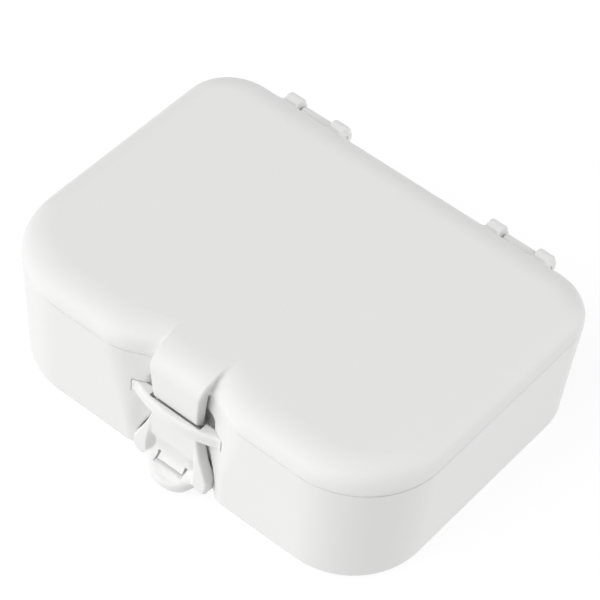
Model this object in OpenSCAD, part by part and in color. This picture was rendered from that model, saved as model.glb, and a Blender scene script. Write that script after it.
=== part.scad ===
// Denture case: a moulded two-part box, hinged along the back on two snap
// hinges and held shut by a rocking latch in a shallow niche in the front wall.
// Millimetres. +Z up, latch side towards -Y, origin on the table under the
// middle of the box.

/* [Box] */
// Length of the box, side to side
box_l = 95; // [85:1:110]
// Depth of the box, latch wall to hinge wall
box_w = 70; // [64:1:80]
// Height of the base, table to parting line
base_h = 28; // [26:0.5:34]
// Height of the lid above the parting line
lid_h = 4.8; // [4.4:0.1:7]
// Corner radius at the latch side
r_front = 18; // [14:0.5:22]
// Corner radius at the hinge side
r_back = 11; // [8:0.5:16]
// Wall thickness
wall = 2; // [1.6:0.1:2.6]
// How far the base walls lean in at the table
draft = 1.6; // [0.5:0.1:2.5]
// Radius of the rounded edge around the bottom
r_bottom = 3.5; // [2:0.1:5]

/* [Lid] */
// Width of the rounded lid edge at the front and back
edge_y = 7.4; // [4:0.1:9]
// Width of the rounded lid edge at the two sides
edge_x = 5.2; // [3:0.1:8]
// Upright part of the lid wall below the rounded edge
skirt = 0.5; // [0.3:0.1:1]
// Height of the locating lip that stands above the parting line
lip_h = 1.2; // [0.8:0.1:1.8]

/* [Niche] */
// Radius of the hollow in the front wall
niche_r = 18.4; // [17:0.1:20]
// Depth of the hollow in the middle
niche_d = 4.75; // [4.25:0.25:5.25]

/* [Tongue] */
// Half width of the lid's tongue where it leaves the lid
tongue_top = 6.5; // [5.5:0.1:7]
// Half width of the tongue at its lower end
tongue_end = 5.4; // [4.5:0.1:6]

/* [Hinges] */
// Distance of each hinge from the middle of the box
hinge_x = 25.2; // [20:0.2:27]
// Radius of the lid knuckles
knuckle_r = 2.3; // [2:0.1:2.6]
// Width of each lid knuckle
knuckle_w = 3.5; // [3:0.1:6.2]
// Gap between the two knuckles of a hinge
knuckle_gap = 7.9; // [5:0.1:8.5]
// Radius of the hinge pin
pin_r = 0.9; // [0.8:0.05:1]

/* [Latch] */
// Half width of the latch bar
bar_half = 10.9; // [10.2:0.1:11]
// Radius of the bowed front of the latch bar
bow_r = 26; // [24:1:32]
// Half width across the latch ears
ear_half = 9.2; // [9:0.1:9.2]
// Radius of the thumb tab, seen from above
tab_r = 6.7; // [6.2:0.1:7]
// Radius of the latch pivot pins
latch_pin_r = 0.6; // [0.5:0.05:0.65]

/* [Hidden] */

hx = box_l / 2;
hy = box_w / 2;
zp = base_h;
ax_y = hy + 2.0;            // hinge axis
ax_z = zp - 1.7;
piv_y = -hy + 2.2;          // latch pivot axis
piv_z = 5.6;
lug_x = 7;
bar_z = 17.5;               // underside of the latch bar
bar_h = 2.8;
nc_y = -hy + niche_d - niche_r;   // centre line of the niche
run = 0.05;                 // running clearance of a pin in its hole
FN = 40;

white = [0.93, 0.93, 0.92];
pin_c = [0.86, 0.86, 0.86];

// ---------- shared outlines ----------

// the four corner discs of an outline with its own radius at the front and back
module corners(a, b, rf, rb, h = 0.01) {
    for (s = [-1, 1]) {
        translate([s * (a - rf), -(b - rf), 0]) cylinder(r = rf, h = h, $fn = FN);
        translate([s * (a - rb), b - rb, 0]) cylinder(r = rb, h = h, $fn = FN);
    }
}

// the whole outline from true arcs, for upright walls
module outline_true(a, b, rf, rb) {
    for (s = [-1, 1]) {
        translate([s * (a - rf), -(b - rf)]) circle(r = rf, $fn = 64);
        translate([s * (a - rb), b - rb]) circle(r = rb, $fn = 64);
    }
    translate([-(a - rf), -b]) square([2 * (a - rf), rf]);
    translate([-(a - rb), b - rb]) square([2 * (a - rb), rb]);
    translate([-a, -(b - rf)]) square([2 * a, 2 * b - rf - rb]);
}

// one thin slice of a shell body: z, inset across X, inset across Y
module slice(z, ix, iy, h = 0.01) {
    im = (ix + iy) / 2;
    translate([0, 0, z])
        corners(hx - ix, hy - iy, max(r_front - 0.6 * im, 1), max(r_back - 0.6 * im, 1), h);
}

// ---------- base ----------

// depth of the wall's inner face behind the outer outline is w
module base_body(w, z0) {
    r = max(r_bottom - w, 1.2);
    top = zp + (w > 0 ? 1 : 0);
    hull() {
        for (k = [0 : 4]) {
            t = k * 22.5;
            z = z0 + r * (1 - cos(t));
            d = draft * (1 - z / zp) + w;
            slice(z, d + r * (1 - sin(t)), d + r * (1 - sin(t)));
        }
        slice(top - 0.01, w - (top > zp ? draft / zp : 0), w - (top > zp ? draft / zp : 0));
    }
}

module niche_cut(extra) {
    translate([0, nc_y, -5]) cylinder(r = niche_r + extra, h = zp + 20, $fn = 128);
}

// room behind and beside the latch
pocket_y = -hy + 3.8;
module latch_pocket() {
    translate([0, pocket_y, 0]) rotate([90, 0, 0]) linear_extrude(12)
        polygon([[-9.6, -1], [9.6, -1], [9.6, 8.4], [7.2, 14.5], [6.4, 17.5],
                 [-6.4, 17.5], [-7.2, 14.5], [-9.6, 8.4]]);
    // the bar's own slot across the niche
    translate([-bar_half - 0.4, -hy - 8, bar_z - 0.4]) cube([2 * bar_half + 0.8, 11.5, bar_h + 0.8]);
    translate([-9.8, -hy - 8, bar_z]) cube([19.6, 11.5, bar_h + 2.5]);
}

module base_shell() color(white) {
    difference() {
        union() {
            difference() {
                base_body(0, 0);
                niche_cut(0);
                latch_pocket();
                difference() {
                    base_body(wall, wall);
                    niche_cut(wall);
                    translate([-13.4, -hy - 5, -1]) cube([26.8, 5 + 5.7, zp + 5]);
                }
            }
            // locating lip
            difference() {
                translate([0, 0, zp - 1]) linear_extrude(1 + lip_h) difference() {
                    outline_true(hx - 1.15, hy - 1.15, r_front - 1.15, r_back - 1.15);
                    outline_true(hx - wall, hy - wall, r_front - wall, r_back - wall);
                }
                niche_cut(1.15);
                translate([-14, -hy - 5, zp - 2]) cube([28, 5 + 6.2, 10]);
            }
            // lugs that carry the latch pins
            for (s = [-1, 1]) translate([s * lug_x, 0, 0]) lug();
            // hinge hooks
            for (s = [-1, 1]) translate([s * hinge_x, 0, 0]) hook();
        }
        // room for the lid knuckles
        for (s = [-1, 1]) for (q = [-1, 1])
            translate([s * hinge_x + q * (knuckle_gap + knuckle_w) / 2, ax_y, ax_z])
                rotate([0, 90, 0]) cylinder(r = knuckle_r + 0.3, h = knuckle_w + 0.5, center = true, $fn = 64);
        // bores of the hooks and of the lugs
        for (s = [-1, 1]) {
            translate([s * hinge_x, ax_y, ax_z]) rotate([0, 90, 0])
                cylinder(r = pin_r + run, h = knuckle_gap + 0.2, center = true, $fn = 64);
            translate([s * lug_x, piv_y, piv_z]) rotate([0, 90, 0])
                cylinder(r = latch_pin_r + run, h = 3, center = true, $fn = 64);
        }
    }
}

module lug() {
    rotate([90, 0, 90]) linear_extrude(1.4, center = true) {
        translate([piv_y, piv_z]) circle(r = 1.1, $fn = 48);
        translate([piv_y, piv_z - 1]) square([pocket_y - piv_y + 1, 2.1]);
    }
}

module hook() {
    difference() {
        rotate([90, 0, 90]) linear_extrude(knuckle_gap - 0.6, center = true) {
            translate([ax_y, ax_z]) circle(r = 1.75, $fn = 64);
            polygon([[hy - 1.4, ax_z - 4.4], [hy - 1.4, ax_z + 0.6], [ax_y, ax_z + 0.6],
                     [ax_y + 1.25, ax_z - 1.22]]);
        }
        translate([-5, hy, ax_z + 1.25]) cube([10, 8, 4]);
    }
}

// ---------- lid ----------

// slices of the rounded lid; w is how far the surface lies inside the outer one
module lid_body(w) {
    b = lid_h - skirt - w;
    low = zp + (w > 0 ? -1 : 0.02);
    hull() {
        slice(low, w, w, zp + skirt - low);
        for (k = [1 : 6]) {
            t = k * 15;
            slice(zp + skirt + b * sin(t) - (k == 6 ? 0.01 : 0),
                  w + (edge_x - 0.4 * w) * (1 - cos(t)), w + (edge_y - 0.4 * w) * (1 - cos(t)));
        }
    }
}

// the niche wall of the lid rolls over into the lid top like the lid's own edge
module lid_niche(w) {
    b = lid_h - skirt - w;
    e = edge_y - 1.4;
    translate([0, nc_y, 0]) rotate_extrude($fn = 128)
        polygon(concat([[0, zp - 2], [niche_r + w, zp - 2]],
                       [for (k = [0 : 6]) [niche_r + w + e * (1 - cos(k * 15)), zp + skirt + b * sin(k * 15)]],
                       [[niche_r + w + e, zp + 12], [0, zp + 12]]));
}

module tongue() {
    intersection() {
        rotate([90, 0, 90]) linear_extrude(20, center = true)
            polygon([[-hy + 14, zp + lid_h - 0.04], [-hy + 7.4, zp + lid_h - 0.06], [-hy + 5.4, zp + lid_h - 0.3],
                     [-hy + 3.4, zp + lid_h - 0.9], [-hy + 1.9, zp + lid_h - 1.9], [-hy + 0.9, zp + lid_h - 3.2],
                     [-hy + 0.6, zp], [-hy + 0.85, 23], [-hy + 1.05, 21.6], [-hy + 1.4, 20.3], [-hy + 1.95, 19.5],
                     [-hy + 2.6, 19.1], [-hy + 3.5, 19], [-hy + 3.4, zp + 0.3], [-hy + 14, zp + 0.3]]);
        translate([0, -hy + 15, 0]) rotate([90, 0, 0]) linear_extrude(25)
            polygon([[-tongue_top, zp + 10], [-tongue_top, zp + 3], [-tongue_end - 0.3, zp - 2], [-tongue_end, 20],
                     [-tongue_end + 0.4, 18], [tongue_end - 0.4, 18], [tongue_end, 20], [tongue_end + 0.3, zp - 2],
                     [tongue_top, zp + 3], [tongue_top, zp + 10]]);
    }
}

module lid_knuckle() {
    rotate([90, 0, 90]) linear_extrude(knuckle_w, center = true) {
        translate([ax_y, ax_z]) circle(r = knuckle_r, $fn = 64);
        translate([ax_y, ax_z + 1.4]) circle(r = knuckle_r - 0.4, $fn = 64);
        // heel that meets the back wall when the lid is fully open
        polygon([[ax_y, ax_z - 2.2], [ax_y + 2.5, ax_z - 1.1], [ax_y + 2.5, ax_z + 0.3], [ax_y + 1.4, ax_z + 1.82], [ax_y, ax_z + 2]]);
        polygon([[hy - 2.6, zp + 0.3], [hy - 2.6, zp + 2.6], [hy - 0.6, zp + 2.5], [hy + 1.2, zp + 1.5],
                 [ax_y + 1.15, ax_z + 1.99], [ax_y, ax_z - 0.2], [hy + 0.35, zp - 1.2], [hy + 0.35, zp + 0.3]]);
    }
}

module lid_shell() color(white) {
    difference() {
        union() {
            difference() {
                lid_body(0);
                lid_niche(0);
            }
            tongue();
            for (s = [-1, 1]) for (q = [-1, 1])
                translate([s * hinge_x + q * (knuckle_gap + knuckle_w) / 2, 0, 0]) lid_knuckle();
        }
        difference() {
            lid_body(wall);
            lid_niche(wall);
            translate([-8, -hy - 5, zp - 3]) cube([16, 5 + 14, 20]);
        }
        // step that takes the lip of the base
        difference() {
            translate([0, 0, zp - 1]) linear_extrude(1 + lip_h + 0.25)
                outline_true(hx - 0.9, hy - 0.9, r_front - 0.9, r_back - 0.9);
            niche_cut(0.9);
            translate([-13, -hy - 5, zp - 3]) cube([26, 5 + 5.4, 20]);
        }
        for (s = [-1, 1])
            translate([s * hinge_x, ax_y, ax_z]) rotate([0, 90, 0])
                cylinder(r = pin_r, h = 40, center = true, $fn = 64);
    }
}

// ---------- pins ----------

module hinge_pin(s) color(pin_c) {
    translate([s * hinge_x, ax_y, ax_z]) rotate([0, 90, 0])
        cylinder(r = pin_r, h = knuckle_gap + 2 * knuckle_w - 0.4, center = true, $fn = 64);
}
module hinge_pin_left() hinge_pin(-1);
module hinge_pin_right() hinge_pin(1);

module latch_pin(s) color(pin_c) {
    translate([s * lug_x, piv_y, piv_z]) rotate([0, 90, 0])
        cylinder(r = latch_pin_r, h = 3.3, center = true, $fn = 64);
}
module latch_pin_left() latch_pin(-1);
module latch_pin_right() latch_pin(1);

// ---------- latch ----------

// bowed bar that closes over the end of the tongue, which stands in its notch
module latch_bar() {
    difference() {
        intersection() {
            translate([0, -hy - 0.5 + bow_r, bar_z]) cylinder(r = bow_r, h = bar_h, $fn = 256);
            translate([-bar_half, -hy - 2, bar_z - 1]) cube([2 * bar_half, 5.1, bar_h + 2]);
        }
        translate([-6.1, -hy + 1.1, bar_z - 1]) cube([12.2, 6, bar_h + 2]);
    }
}

// front outline of the plate, half of it
plate_half = [[0, 18.6], [5.5, 18.6], [5.4, 17.4], [5.6, 15.6], [6.3, 13], [7.3, 10.5], [8.5, 8.2], [ear_half, 6.4],
              [ear_half, 5], [8.7, 4], [8, 3.4], [7.2, 3.2], [6.3, 3.3], [5.4, 3.8], [0, 3.8]];

module mirrored_outline(h) {
    polygon(concat(h, [for (k = [len(h) - 1 : -1 : 0]) [-h[k][0], h[k][1]]]));
}

module latch_plate() {
    intersection() {
        translate([0, -hy + 6, 0]) rotate([90, 0, 0]) linear_extrude(12) mirrored_outline(plate_half);
        rotate([90, 0, 90]) linear_extrude(30, center = true)
            polygon([[-hy + 0.9, 18.6], [-hy + 0.9, 16.5], [-hy + 0.7, 13], [-hy + 0.4, 10], [-hy + 0.3, 8],
                     [-hy + 0.3, 4.6], [-hy + 0.6, 3.2], [-hy + 2.8, 3.2], [-hy + 3.1, 3.6], [-hy + 3.1, 16.8],
                     [-hy + 2.5, 17.4], [-hy + 2.5, 18.6]]);
    }
}

// thumb tab that stands out below the plate
module latch_tab() {
    intersection() {
        translate([0, -hy - 2.2 + tab_r, 0]) cylinder(r = tab_r, h = 8, $fn = 128);
        rotate([90, 0, 90]) linear_extrude(11.4, center = true)
            polygon([[-hy + 2.8, 5.2], [-hy + 0.3, 5.0], [-hy - 1.2, 3.3], [-hy - 2.3, 2.3], [-hy - 2.3, 1.4],
                     [-hy - 1.6, 0.9], [-hy - 0.6, 1.3], [-hy + 1.2, 2.6], [-hy + 2.8, 3.8]]);
    }
}

module latch_lever() color(white) {
    difference() {
        union() {
            latch_bar();
            difference() {
                latch_plate();
                // sunken middle of the plate, on both sides of the spring finger
                for (s = [-1, 1]) translate([s * 4.3 - 1.3, -hy - 4, 6]) cube([2.6, 5.1, 7.5]);
                // room for the lugs of the base
                for (s = [-1, 1]) translate([s * lug_x - 0.95, -hy + 0.85, piv_z - 2.6]) cube([1.9, 6, 5.4]);
            }
            latch_tab();
        }
        // slot around the spring finger
        for (s = [-1, 1]) translate([s * 3.2 - 0.2, -hy - 4, 4.6]) cube([0.4, 9, 2.6]);
        translate([-3.4, -hy - 4, 4.6]) cube([6.8, 9, 0.4]);
        for (s = [-1, 1]) translate([s * lug_x, piv_y, piv_z]) rotate([0, 90, 0])
            cylinder(r = latch_pin_r, h = 3.3, center = true, $fn = 64);
    }
}

base_shell();
lid_shell();
hinge_pin_left();
hinge_pin_right();
latch_lever();
latch_pin_left();
latch_pin_right();
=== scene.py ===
import math

import bpy
import numpy as np
from mathutils import Matrix, Vector


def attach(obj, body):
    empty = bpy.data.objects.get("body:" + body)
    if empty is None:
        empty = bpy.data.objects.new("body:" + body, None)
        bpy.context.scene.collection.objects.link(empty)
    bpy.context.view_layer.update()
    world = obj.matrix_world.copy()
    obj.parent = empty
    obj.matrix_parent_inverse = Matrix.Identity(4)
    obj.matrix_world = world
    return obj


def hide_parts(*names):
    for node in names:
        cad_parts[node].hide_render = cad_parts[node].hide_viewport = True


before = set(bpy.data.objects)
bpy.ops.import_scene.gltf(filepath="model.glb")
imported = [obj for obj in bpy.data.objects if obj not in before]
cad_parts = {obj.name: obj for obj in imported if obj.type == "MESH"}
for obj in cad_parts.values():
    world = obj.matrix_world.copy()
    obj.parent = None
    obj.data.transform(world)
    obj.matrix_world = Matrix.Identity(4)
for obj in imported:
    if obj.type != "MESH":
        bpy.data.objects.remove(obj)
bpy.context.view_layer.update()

# ------------------------------------------------------------------ dimensions, mm
HX, HY, ZP = 47.5, 35.0, 28.0          # half length, half depth, parting height
RF, RB = 18.0, 11.0                    # corner radii, latch side and hinge side
LID_H, SKIRT = 4.8, 0.5
EDGE_Y, EDGE_X, EDGE_N = 7.4, 5.2, 6.6
DRAFT, R_BOT = 1.6, 3.5
NR, NY = 18.4, -35.0 + 4.75 - 18.4     # niche radius and centre line
AX_Y, AX_Z = 37.0, 26.3                # hinge axis
PV_Y, PV_Z = -32.8, 5.6                # latch pivot
HINGES = (-25.2, 25.2)


# ------------------------------------------------------------------ shape functions
def smin(a, b, k):
    h = np.clip(0.5 + 0.5 * (b - a) / k, 0, 1)
    return b + (a - b) * h - k * h * (1 - h)


def smax(a, b, k):
    return -smin(-a, -b, k)


def rmax(a, b, r):
    return np.minimum(np.maximum(a, b), -r) + np.hypot(np.maximum(a + r, 0), np.maximum(b + r, 0))


def rmin(a, b, r):
    return -rmax(-a, -b, r)


def step01(x, a, b):
    t = np.clip((x - a) / (b - a), 0, 1)
    return t * t * (3 - 2 * t)


def curve(t, pts):
    """A smooth line through (t, value) points."""
    xs = np.array([p[0] for p in pts], float)
    vs = np.array([p[1] for p in pts], float)
    d = np.diff(vs) / np.diff(xs)
    m = np.concatenate([[d[0]], (d[:-1] + d[1:]) / 2, [d[-1]]])
    flat = np.concatenate([[False], d[:-1] * d[1:] <= 0, [False]])
    m[flat] = 0
    i = np.clip(np.searchsorted(xs, t) - 1, 0, len(xs) - 2)
    h = xs[i + 1] - xs[i]
    s = np.clip((t - xs[i]) / h, 0, 1)
    return ((1 + 2 * s) * (1 - s) ** 2 * vs[i] + s * (1 - s) ** 2 * h * m[i]
            + s * s * (3 - 2 * s) * vs[i + 1] + s * s * (s - 1) * h * m[i + 1])


def outline(x, y, inset=0.0):
    """Signed distance to the box outline, and how much the nearest side faces along X."""
    r = np.where(y < 0, RF, RB)
    qx = np.abs(x) - (HX - inset - r)
    qy = np.abs(y) - (HY - inset - r)
    corner = (qx > 0) & (qy > 0)
    d = np.hypot(np.maximum(qx, 0), np.maximum(qy, 0)) + np.minimum(np.maximum(qx, qy), 0) - r
    w = np.where(corner, qx ** 2 / np.maximum(qx ** 2 + qy ** 2, 1e-9), (qx > qy) * 1.0)
    return d, w


def polygon(px, py, pts):
    """Signed distance to a closed polygon."""
    v = np.array(pts, float)
    d = np.full(px.shape, 1e9)
    inside = np.zeros(px.shape, bool)
    for i in range(len(v)):
        a, b = v[i], v[(i + 1) % len(v)]
        e = b - a
        wx, wy = px - a[0], py - a[1]
        t = np.clip((wx * e[0] + wy * e[1]) / (e @ e), 0, 1)
        d = np.minimum(d, (wx - e[0] * t) ** 2 + (wy - e[1] * t) ** 2)
        c = ((a[1] > py) != (b[1] > py))
        with np.errstate(divide="ignore", invalid="ignore"):
            xc = a[0] + (py - a[1]) * e[0] / (e[1] if e[1] else 1e-9)
        inside ^= c & (px < xc)
    d = np.sqrt(d)
    return np.where(inside, -d, d)


def rolled(ins, z, e, b, z0):
    """Distance to a surface that rises straight up and rolls over into a flat top: e across, b high."""
    u = np.maximum(1 - ins / e, 0)
    v = np.maximum((z - z0) / b, 0)
    h = np.sqrt(u * u + v * v)
    g = np.sqrt((u / e) ** 2 + (v / b) ** 2)
    return np.where(h > 0.25, (h - 1) * h / np.maximum(g, 1e-6), -0.6 * b)


# ------------------------------------------------------------------ the lid
def lid_shape(x, y, z):
    d, w = outline(x, y)
    nd = np.hypot(x, y - NY) - NR
    ins = smin(-d, nd, 3.2)
    near = step01(nd - (-d), 4.0, -4.0)            # 1 where the niche is the nearer side
    e = (EDGE_X * w + EDGE_Y * (1 - w)) * (1 - near) + EDGE_N * near
    outer = rolled(ins, z, e, LID_H - SKIRT, ZP + SKIRT)
    outer = rmax(outer, ZP + 0.05 - z, 0.16)
    # hollow underside
    ins2 = smin(-d - 2.0, nd - 2.0, 3.2)
    cav = rolled(ins2, z, e * 0.8, LID_H - SKIRT - 2.0, ZP + SKIRT)
    # step for the lip of the base
    lip = np.maximum(-(smin(-d, nd, 3.2) - 0.95), z - (ZP + 1.45))
    lip = np.maximum(lip, np.where((np.abs(x) < 12.6) & (y < -26), 1.0, -9.0))
    shell = smax(outer, -np.minimum(cav, lip), 0.3)

    # tongue: the lid's front edge carried on across the niche and down into the notch of the bar
    front = y - curve(z, [(17, -33.65), (19, -33.7), (20.3, -33.77), (21.6, -33.93), (23, -34.12), (26, -34.3), (28.5, -34.45), (33, -34.5)])
    roll = rolled(front, z, 7.0, LID_H - SKIRT, ZP + SKIRT)
    half = curve(z, [(17, 5.2), (21, 5.38), (25, 5.68), (28, 5.95), (30.5, 6.3), (33, 6.6)])
    side = np.abs(x) - half
    lower = rmax(rmax(rmax(roll, 19.02 - z, 2.3), side, 0.35), y + 31.55, 0.3)
    lower = rmax(lower, z - 30, 0.2)
    upper = rmax(roll, side, 0.45)
    upper = np.maximum(np.maximum(upper, ZP + 0.35 - z), np.maximum(y + 20.0, np.where(z < ZP + LID_H - 1.9, nd - 1.9, -9.0)))
    k = 0.03 + 0.8 * step01(side, -1.6, 0.2) * (1 - step01(ins, e - 2.5, e))
    lid = smin(shell, upper, k)
    lid = smin(lid, lower, 0.03 + 0.37 * step01(y, -32.6, -31.6))
    lid = np.maximum(lid, z - (ZP + LID_H))

    # hinge knuckles
    a = np.hypot(y - AX_Y, z - AX_Z)
    arm_a, arm_b = np.array([AX_Y, AX_Z]), np.array([31.6, 28.9])
    e2 = arm_b - arm_a
    t = np.clip(((y - arm_a[0]) * e2[0] + (z - arm_a[1]) * e2[1]) / (e2 @ e2), 0, 1)
    arm = np.hypot(y - arm_a[0] - e2[0] * t, z - arm_a[1] - e2[1] * t) - (2.3 - 0.3 * t)
    heel = polygon(y, z, [(AX_Y, AX_Z - 1.9), (AX_Y + 2.2, AX_Z - 0.9), (AX_Y + 2.2, AX_Z + 0.4), (AX_Y + 0.8, AX_Z + 1.9), (AX_Y, AX_Z)]) - 0.25
    arm = np.maximum(arm, -np.maximum(z - (ZP + 0.3), y - 35.35))
    crown = np.hypot(y - AX_Y, z - AX_Z - 1.4) - 1.9
    ear2 = smin(np.minimum(np.minimum(a - 2.3, heel), arm), crown, 0.35)
    for hx in HINGES:
        for s in (-1, 1):
            ear = rmax(ear2, np.abs(x - hx - s * 5.7) - 1.75, 0.4)
            ear = np.maximum(ear, -(a - 0.9) * 1.0)
            lid = np.where(y > 28, smin(lid, ear, 0.9), lid)
    # the inner face of the wall stays clean
    lid = np.where(y > 28, np.maximum(lid, -np.minimum(cav, lip)), lid)
    return lid


# ------------------------------------------------------------------ the base
def base_shape(x, y, z):
    ins_z = DRAFT * (1 - z / ZP)
    d, w = outline(x, y)
    d = d + ins_z
    nd = np.hypot(x, y - NY) - NR
    k = 0.8 + 2.4 * step01(z, 8, 27)
    side = smax(d, -nd, k)
    outer = rmax(side, -z, R_BOT)
    outer = rmax(outer, z - ZP + 0.03, 0.16)
    # inside
    d2, _ = outline(x, y)
    thick = np.where((np.abs(x) < 13.6) & (y < -20), np.maximum(y + 29.3, 0) * 0 + 1, 0)
    inner = smax(d2 + ins_z + 2.0, -(nd - 2.0), 1.2)
    inner = rmax(inner, 2.0 - z, 2.2)
    inner = rmax(inner, np.where(np.abs(x) < 17.0, -29.3 - y, -99.0) - 4.2 * step01(np.abs(x), 13.0, 15.6), 1.0)
    body = smax(outer, -inner, 0.25)
    # locating lip
    lip_o = smax(d2 + 1.18, -(nd - 1.18), 2.4)
    lip_i = smax(d2 + 2.0, -(nd - 2.0), 1.2)
    lip = rmax(rmax(lip_o, -lip_i, 0.12), z - (ZP + 1.2), 0.2)
    lip = np.maximum(lip, ZP - 1.5 - z)
    lip = np.maximum(lip, 13.2 - np.abs(x) - 60.0 * (y > -25))
    body = np.minimum(body, lip)
    # room behind the latch
    room = [(9.5, -3), (9.5, 6.6), (8.85, 8.3), (7.7, 10.6), (6.7, 13.1), (6.0, 15.7), (5.8, 17.6)]
    pz = polygon(x, z, room + [(-a, b) for a, b in room[::-1]])
    pocket = rmax(pz, y + 31.2, 0.3)
    slot = rmax(np.maximum(np.abs(x) - 11.02, y + 31.75), np.abs(z - 18.9) - 1.52, 0.15)
    back = NY + np.sqrt(np.maximum(NR ** 2 - x ** 2, 0)) + 1.3 - 1.55 * step01(np.abs(x), 6.4, 8.9)
    hood = rmax(rmax(np.abs(x) - 9.3, y - back, 0.3), np.abs(z - 20.4) - 2.6, 0.5)
    body = np.where(y < -28, smax(body, -np.minimum(pocket, hood), 0.3), body)
    body = np.where(y < -28, smax(body, -slot, 0.2), body)
    # lugs for the latch
    lug = np.hypot(y - PV_Y, z - PV_Z) - 1.1
    arm = np.maximum(np.abs(z - PV_Z) - 1.0, np.abs(y + 31.8) - 1.2)
    lug = smin(lug, arm, 0.2)
    for s in (-1, 1):
        body = np.where(y < -28, np.minimum(body, rmax(lug, np.abs(x - s * 7.0) - 0.7, 0.15)), body)
    # hinge: room for the lid's knuckles, and the middle knuckle
    a = np.hypot(y - AX_Y, z - AX_Z)
    web = polygon(y, z, [(33.6, AX_Z - 4.4), (33.6, AX_Z + 0.6), (AX_Y, AX_Z + 0.6), (AX_Y + 1.25, AX_Z - 1.22)])
    hook = smin(a - 1.75, web, 0.3)
    for hx in HINGES:
        for s in (-1, 1):
            r = np.maximum(a - 2.6, np.abs(x - hx - s * 5.7) - 2.0)
            body = np.where(y > 30, smax(body, -r, 0.2), body)
        h = rmax(hook, np.abs(x - hx) - 3.65, 0.3)
        h = np.maximum(h, -(a - 0.95))
        body = np.where(y > 30, smin(body, h, 0.5), body)
    return body


# ------------------------------------------------------------------ the latch
def lever_shape(x, y, z):
    ax = np.abs(x)
    # bowed bar, with the notch that the tongue stands in
    q = np.hypot(x, y + 35.5 - 26.0)
    wall = curve(ax, [(8, -32.2), (9.5, -32.95), (10.0, -33.2), (10.5, -33.44), (11.0, -33.66), (12.0, -34.0)])
    bow = smin(q - 26.0, (wall - y) * 0.9, 0.5)
    bar = rmax(rmax(bow, z - 20.3, 0.85 - 0.5 * step01(ax, 9.0, 10.6)), 17.5 - z, 0.35)
    bar = rmax(bar, ax - 10.9, 0.25)
    bar = rmax(bar, y + 31.9, 0.3)
    notch = rmax(ax - 6.1, -33.9 - y, 0.3)
    bar = rmax(bar, -notch, 0.18)
    # plate: cheeks outside, a sunken part inside them, and the spring finger in the middle
    half = curve(z, [(2.8, 8.6), (5, 9.15), (6.4, 9.2), (8.2, 8.5), (10.5, 7.35), (13, 6.35), (15.6, 5.65), (17.4, 5.4), (19, 5.4)])
    side = (ax - half) * 0.92
    cheek = curve(z, [(2, -34.3), (3.4, -34.65), (5, -34.8), (8, -34.7), (10.5, -34.45), (13, -34.15), (16.5, -33.95), (19, -33.95)])
    mid = curve(z, [(3.4, -35.4), (4.3, -35.05), (4.7, -34.5), (5.2, -34.0), (6.0, -33.65), (7.2, -33.55), (8.8, -33.75),
                    (10.8, -34.05), (13, -34.05), (16.5, -33.93), (19, -33.93)])
    sink = 0.45 * step01(ax, 3.7, 5.0) * step01(z, 5.6, 6.8) * (1 - step01(z, 8.2, 10.6))
    wall = step01(ax - 5.2 + 0.45 * (y + 33.9), -0.3, 0.45)
    front = (mid + sink) * (1 - wall) + cheek * wall
    back = np.clip(NY + np.sqrt(np.maximum(NR ** 2 - ax ** 2, 0)) - 0.22, -31.9, -31.45) - 0.9 * step01(z, 16.0, 17.4)
    slab = rmax((front - y) * 0.7, y - back, 0.25)
    ear = np.hypot(np.maximum(np.abs(ax - 7.45) - 0.05, 0), z - 4.3) - 1.75
    bottom = np.where(z < 4.3, np.where(ax > 5.9, ear, 4.0 - z), -9.0)
    plate = rmax(rmax(slab, side, 0.45 + 0.25 * step01(-z, -9, -5)), bottom, 0.9)
    plate = np.maximum(plate, z - 18.55)
    lever = smin(bar, plate, 0.7)
    # thumb tab
    rim = np.hypot(x, y + 37.2 - 6.7) - 6.7
    top = polygon(y, z, [(-31.9, 5.6), (-33.6, 5.3), (-34.9, 4.6), (-36.2, 3.15), (-37.6, 2.35), (-37.6, 1.2), (-36.6, 0.95),
                         (-35.5, 1.3), (-33.8, 2.5), (-32.2, 3.8)])
    top = top + 0.26 * step01(-rim, 0.6, 1.9) * step01(-y, 33.9, 35.1)
    tab = rmax(rim, top, 0.5)
    tab = rmax(tab, ax - 6.5, 0.5)
    lever = smin(lever, tab, 0.8)
    # slot round the end of the finger
    arm = np.abs(ax - 3.25) - 0.15 - 0.1 * np.maximum(z - 4.6, 0)
    gap = np.minimum(rmax(arm, np.abs(z - 5.2) - 0.8, 0.1), np.maximum(ax - 3.4, np.abs(z - 4.6) - 0.22))
    gap = np.maximum(gap, y - front - 1.0)
    lever = smax(lever, -gap, 0.12)
    # room for the lugs, behind the cheeks
    room = np.maximum(np.maximum(np.abs(ax - 7.0) - 0.95, -34.15 - y), np.abs(z - 5.2) - 2.2)
    room = np.maximum(room, 6.2 - ax)
    lever = smax(lever, -room, 0.1)
    return np.maximum(lever, -(np.hypot(y - PV_Y, z - PV_Z) - 0.6) - 99.0 * (np.abs(ax - 7.0) > 1.65))


# ------------------------------------------------------------------ meshing
def levels(*spans):
    out = [float(spans[0])]
    for to, step in spans[1:]:
        a = out[-1]
        n = max(1, int(round((to - a) / (step * COARSE))))
        out += [a + (to - a) * (i + 1) / n for i in range(n)]
    return np.array(out)


def mirror_levels(*spans):
    h = levels(*spans)
    return np.concatenate([-h[:0:-1], h])


COARSE = 1.0


def gradient(f, P, h=0.01):
    G = np.empty_like(P)
    for a in range(3):
        D = np.zeros(3)
        D[a] = h
        U, V = P + D, P - D
        G[:, a] = (f(U[:, 0], U[:, 1], U[:, 2]) - f(V[:, 0], V[:, 1], V[:, 2])) / (2 * h)
    return G


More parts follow.
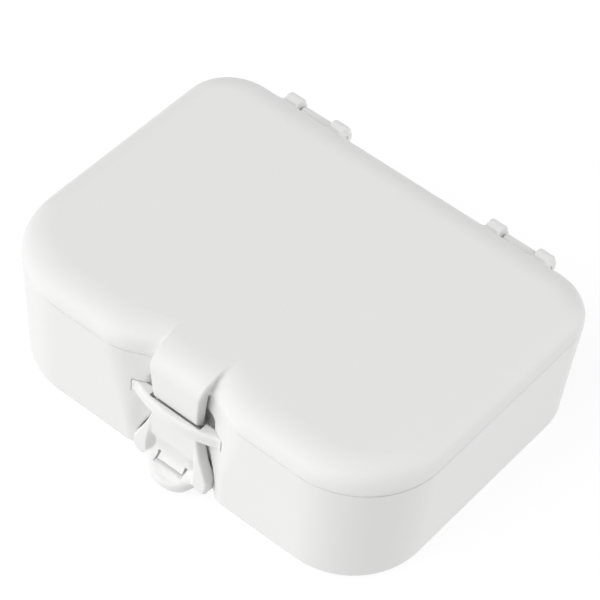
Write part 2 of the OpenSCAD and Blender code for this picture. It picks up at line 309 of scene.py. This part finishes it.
def nets(f, xs, ys, zs):
    """One vertex in every grid cell that the surface crosses, pulled onto the surface, and a quad round every crossed edge."""
    nx, ny, nz = len(xs), len(ys), len(zs)
    F = np.empty((nx, ny, nz), np.float32)
    Y, Z = np.meshgrid(ys, zs, indexing="ij")
    for i in range(0, nx, 16):
        X = np.broadcast_to(xs[i:i + 16, None, None], (len(xs[i:i + 16]), ny, nz))
        F[i:i + 16] = f(X, np.broadcast_to(Y, X.shape), np.broadcast_to(Z, X.shape))
    S = F < 0
    count = np.zeros((nx - 1, ny - 1, nz - 1), np.int8)
    for a in (0, 1):
        for b in (0, 1):
            for c in (0, 1):
                count += S[a:nx - 1 + a, b:ny - 1 + b, c:nz - 1 + c]
    live = (count > 0) & (count < 8)
    idx = -np.ones(live.shape, np.int64)
    cells = np.argwhere(live)
    idx[live] = np.arange(len(cells))
    ci, cj, ck = cells.T
    P = np.zeros((len(cells), 3))
    W = np.zeros(len(cells))
    edges = []
    for b in (0, 1):
        for c in (0, 1):
            edges += [((0, b, c), (1, b, c)), ((b, 0, c), (b, 1, c)), ((b, c, 0), (b, c, 1))]
    for e0, e1 in edges:
        v0 = F[ci + e0[0], cj + e0[1], ck + e0[2]].astype(float)
        v1 = F[ci + e1[0], cj + e1[1], ck + e1[2]].astype(float)
        m = (v0 < 0) != (v1 < 0)
        t = np.where(m, v0 / np.where(m, v0 - v1, 1), 0)[:, None]
        p0 = np.stack([xs[ci + e0[0]], ys[cj + e0[1]], zs[ck + e0[2]]], 1)
        p1 = np.stack([xs[ci + e1[0]], ys[cj + e1[1]], zs[ck + e1[2]]], 1)
        P += np.where(m[:, None], p0 + (p1 - p0) * t, 0)
        W += m
    P /= W[:, None]
    lo = np.stack([xs[ci], ys[cj], zs[ck]], 1)
    hi = np.stack([xs[ci + 1], ys[cj + 1], zs[ck + 1]], 1)
    pad = (hi - lo) * 0.1
    for _ in range(6):
        v = f(P[:, 0], P[:, 1], P[:, 2])
        G = gradient(f, P)
        g2 = np.maximum((G ** 2).sum(1), 0.1)
        P = np.clip(P - G * (v / g2)[:, None], lo - pad, hi + pad)
    quads = []
    i, j, k = np.nonzero(S[:-1, 1:-1, 1:-1] != S[1:, 1:-1, 1:-1])
    j, k = j + 1, k + 1
    quads.append((np.stack([idx[i, j - 1, k - 1], idx[i, j, k - 1], idx[i, j, k], idx[i, j - 1, k]], 1), ~S[i, j, k]))
    i, j, k = np.nonzero(S[1:-1, :-1, 1:-1] != S[1:-1, 1:, 1:-1])
    i, k = i + 1, k + 1
    quads.append((np.stack([idx[i - 1, j, k - 1], idx[i - 1, j, k], idx[i, j, k], idx[i, j, k - 1]], 1), ~S[i, j, k]))
    i, j, k = np.nonzero(S[1:-1, 1:-1, :-1] != S[1:-1, 1:-1, 1:])
    i, j = i + 1, j + 1
    quads.append((np.stack([idx[i - 1, j - 1, k], idx[i, j - 1, k], idx[i, j, k], idx[i - 1, j, k]], 1), ~S[i, j, k]))
    Q = np.concatenate([np.where(flip[:, None], q[:, ::-1], q) for q, flip in quads])
    return P, Q


def skin(name, f, xs, ys, zs, body, node, material):
    P, Q = nets(f, xs, ys, zs)
    N = gradient(f, P, 0.02)
    N /= np.maximum(np.linalg.norm(N, axis=1), 1e-9)[:, None]
    me = bpy.data.meshes.new(name)
    me.vertices.add(len(P))
    me.vertices.foreach_set("co", (P * 0.001).astype(np.float32).ravel())
    me.loops.add(Q.size)
    me.loops.foreach_set("vertex_index", Q.astype(np.int32).ravel())
    me.polygons.add(len(Q))
    me.polygons.foreach_set("loop_start", np.arange(0, Q.size, 4, dtype=np.int32))
    me.update(calc_edges=True)
    me.validate()
    me.polygons.foreach_set("use_smooth", np.ones(len(me.polygons), bool))
    me.normals_split_custom_set_from_vertices([tuple(n) for n in N])
    me.materials.append(material)
    ob = bpy.data.objects.new(name, me)
    bpy.context.scene.collection.objects.link(ob)
    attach(ob, body)
    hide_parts(node)
    print("piece", name, len(P), "points", len(Q), "quads")
    return ob


# ------------------------------------------------------------------ materials
def plastic(name, color, rough, grain=0.35):
    m = bpy.data.materials.new(name)
    m.use_nodes = True
    nt = m.node_tree
    nt.nodes.clear()
    out = nt.nodes.new("ShaderNodeOutputMaterial")
    bsdf = nt.nodes.new("ShaderNodeBsdfPrincipled")
    nt.links.new(bsdf.outputs["BSDF"], out.inputs["Surface"])
    bsdf.inputs["IOR"].default_value = 1.49
    bsdf.inputs["Specular IOR Level"].default_value = 0.5
    bsdf.inputs["Subsurface Weight"].default_value = 0.0
    co = nt.nodes.new("ShaderNodeTexCoord")
    # very slight cloudiness of the moulded plastic
    big = nt.nodes.new("ShaderNodeTexNoise")
    big.inputs["Scale"].default_value = 38.0
    big.inputs["Detail"].default_value = 3.0
    nt.links.new(co.outputs["Object"], big.inputs["Vector"])
    mix = nt.nodes.new("ShaderNodeMix")
    mix.data_type = "RGBA"
    mix.inputs[6].default_value = (*[c * 0.985 for c in color], 1)
    mix.inputs[7].default_value = (*color, 1)
    nt.links.new(big.outputs["Fac"], mix.inputs[0])
    nt.links.new(mix.outputs[2], bsdf.inputs["Base Color"])
    # satin spark-eroded grain: fine roughness change and a shallow bump
    fine = nt.nodes.new("ShaderNodeTexNoise")
    fine.inputs["Scale"].default_value = 2600.0
    fine.inputs["Detail"].default_value = 4.0
    fine.inputs["Roughness"].default_value = 0.6
    nt.links.new(co.outputs["Object"], fine.inputs["Vector"])
    ramp = nt.nodes.new("ShaderNodeMapRange")
    ramp.inputs["From Min"].default_value = 0.3
    ramp.inputs["From Max"].default_value = 0.7
    ramp.inputs["To Min"].default_value = rough - 0.04
    ramp.inputs["To Max"].default_value = rough + 0.05
    nt.links.new(fine.outputs["Fac"], ramp.inputs["Value"])
    nt.links.new(ramp.outputs["Result"], bsdf.inputs["Roughness"])
    bump = nt.nodes.new("ShaderNodeBump")
    bump.inputs["Strength"].default_value = grain
    bump.inputs["Distance"].default_value = 0.00001
    nt.links.new(fine.outputs["Fac"], bump.inputs["Height"])
    nt.links.new(bump.outputs["Normal"], bsdf.inputs["Normal"])
    return m


white = plastic("white_plastic", (0.745, 0.745, 0.74), 0.46)
white_latch = plastic("white_plastic_latch", (0.745, 0.745, 0.74), 0.44)
pin_mat = plastic("pin_plastic", (0.74, 0.74, 0.73), 0.38, 0.2)

# ------------------------------------------------------------------ pieces
lid = skin("lid_skin", lid_shape,
           mirror_levels(0.0, (4.8, 0.4), (7.2, 0.16), (13.0, 0.32), (48.1, 0.5)),
           levels(-36.1, (-29.5, 0.22), (-24, 0.42), (28, 0.9), (33, 0.45), (40.0, 0.25)),
           levels(17.9, (21.0, 0.3), (23.2, 0.17), (27.8, 0.28), (28.4, 0.09), (32.2, 0.22), (33.2, 0.16)),
           "lid", "lid_shell", white)
base = skin("base_skin", base_shape,
            mirror_levels(0.0, (13.2, 0.36), (20.6, 0.7), (35.2, 0.5), (48.1, 0.62)),
            levels(-35.6, (-29.2, 0.3), (29.5, 1.1), (39.8, 0.36)),
            levels(-0.4, (4.2, 0.5), (16.8, 0.9), (22.0, 0.42), (27.4, 0.8), (28.2, 0.11), (29.5, 0.26)),
            "base", "base_shell", white)
lever = skin("latch_skin", lever_shape,
             mirror_levels(0.0, (11.3, 0.125)),
             levels(-38.0, (-30.9, 0.125)),
             levels(0.5, (21.7, 0.14)),
             "latch", "latch_lever", white_latch)

for n in ("hinge_pin_left", "hinge_pin_right", "latch_pin_left", "latch_pin_right"):
    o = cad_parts[n]
    o.data.materials.clear()
    o.data.materials.append(pin_mat)

# ------------------------------------------------------------------ floor, light, camera
def stage_mesh(name, verts, faces, color, rough):
    me = bpy.data.meshes.new(name)
    me.from_pydata(verts, [], faces)
    m = bpy.data.materials.new(name + "_paint")
    m.use_nodes = True
    b = m.node_tree.nodes["Principled BSDF"]
    b.inputs["Base Color"].default_value = (*color, 1)
    b.inputs["Roughness"].default_value = rough
    b.inputs["Specular IOR Level"].default_value = 0.1
    me.materials.append(m)
    ob = bpy.data.objects.new(name, me)
    bpy.context.scene.collection.objects.link(ob)
    return ob


S = 6.0
floor = stage_mesh("floor", [(-S, -S, -0.0002), (S, -S, -0.0002), (S, S, -0.0002), (-S, S, -0.0002)], [(0, 1, 2, 3)], (0.16, 0.16, 0.16), 0.9)
glow = floor.data.materials[0].node_tree.nodes["Principled BSDF"]
glow.inputs["Emission Color"].default_value = (1, 1, 1, 1)
glow.inputs["Emission Strength"].default_value = 0.85

# soft studio light: two broad panels, front left and right, overhead fill, and darkness where the photographer stands
world = bpy.data.worlds.new("studio")
bpy.context.scene.world = world
world.use_nodes = True
wt = world.node_tree
bg = wt.nodes["Background"]
bg.inputs["Strength"].default_value = 1.0
way = wt.nodes.new("ShaderNodeTexCoord").outputs["Generated"]


def node_math(op, a, b):
    n = wt.nodes.new("ShaderNodeMath")
    n.operation = op
    for i, v in enumerate((a, b)):
        if isinstance(v, (int, float)):
            n.inputs[i].default_value = v
        else:
            wt.links.new(v, n.inputs[i])
    return n.outputs[0]


def lobe(direction, power, strength):
    dot = wt.nodes.new("ShaderNodeVectorMath")
    dot.operation = "DOT_PRODUCT"
    wt.links.new(way, dot.inputs[0])
    dot.inputs[1].default_value = Vector(direction).normalized()
    return node_math("MULTIPLY", node_math("POWER", node_math("MAXIMUM", dot.outputs["Value"], 0.0), power), strength)


light = lobe((0, 0, 1), 1, 0.543)
for direction, power, strength in (((-0.7, -0.7, 0.35), 6, 1.288), ((-0.1, -0.75, 0.65), 6, 3.664),
                                   ((0.9, 0.6, 0.3), 6, 2.93), ((0.62, -0.72, 0.2), 3, -3.0)):
    light = node_math("ADD", light, lobe(direction, power, strength))
light = node_math("MAXIMUM", light, 0.02)
grey = wt.nodes.new("ShaderNodeCombineColor")
for i in range(3):
    wt.links.new(light, grey.inputs[i])
wt.links.new(grey.outputs[0], bg.inputs["Color"])
bpy.context.scene.view_settings.view_transform = "Standard"

az, el, roll = math.radians(35.2884), math.radians(48.3646), math.radians(5.7889)
back = Vector((math.sin(az) * math.cos(el), -math.cos(az) * math.cos(el), math.sin(el)))
right = Vector((0, 0, 1)).cross(back).normalized()
up = back.cross(right)
right2 = math.cos(roll) * right + math.sin(roll) * up
up2 = -math.sin(roll) * right + math.cos(roll) * up
eye = Vector((0, 0, 0.018)) + right2 * 0.0015669 + up2 * 0.0034465 + back * 0.5285559
cam = bpy.data.cameras.new("camera")
cam.sensor_width = 36
cam.sensor_fit = "HORIZONTAL"
cam.lens = 2774.6622 / 600 * 36
cam.clip_start = 0.01
cam.clip_end = 50
cam_ob = bpy.data.objects.new("camera", cam)
cam_ob.matrix_world = Matrix.Translation(eye) @ Matrix((right2, up2, back)).transposed().to_4x4()
bpy.context.scene.collection.objects.link(cam_ob)
bpy.context.scene.camera = cam_ob
